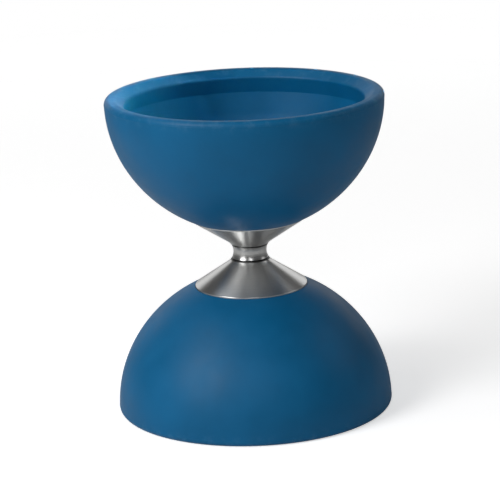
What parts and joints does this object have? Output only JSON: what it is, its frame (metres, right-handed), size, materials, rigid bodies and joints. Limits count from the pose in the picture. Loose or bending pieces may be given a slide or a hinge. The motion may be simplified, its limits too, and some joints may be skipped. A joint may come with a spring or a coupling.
{
  "type": "diabolo",
  "caption": "Fixed-axle diabolo: thick-lipped rubber cups set pole to pole on flared metal hub cones, clamped by a threaded rod through a waisted axle sleeve.",
  "frame": {"origin": "the middle of the axle, halfway between the cups, which is also the middle of the whole object", "axes": "+Z along the axle towards the upper cup, and -Z towards the cup that it stands on; +X and +Y are any two square directions across the axle, because every outer piece is turned about Z"},
  "size_m": [0.108, 0.108, 0.125],
  "materials": {
    "cup_rubber": "matte moulded blue rubber",
    "hub_metal": "bright turned",
    "axle_steel": "hardened and polished",
    "rod_steel": "zinc plated thread",
    "clamp_washer_zinc": "zinc plated",
    "plain_washer_zinc": "zinc plated",
    "nut_zinc": "zinc plated",
    "nut_nylon": "natural nylon"
  },
  "bodies": {
    "root": {"upper_cup": "cup_rubber", "lower_cup": "cup_rubber", "upper_hub_cone": "hub_metal", "lower_hub_cone": "hub_metal", "axle_sleeve": "axle_steel", "axle_rod": "rod_steel", "upper_clamp_washer": "clamp_washer_zinc", "lower_clamp_washer": "clamp_washer_zinc", "upper_plain_washer": "plain_washer_zinc", "lower_plain_washer": "plain_washer_zinc", "upper_lock_nut": "nut_zinc", "lower_lock_nut": "nut_zinc", "upper_nut_insert": "nut_nylon", "lower_nut_insert": "nut_nylon"}
  },
  "joints": []
}
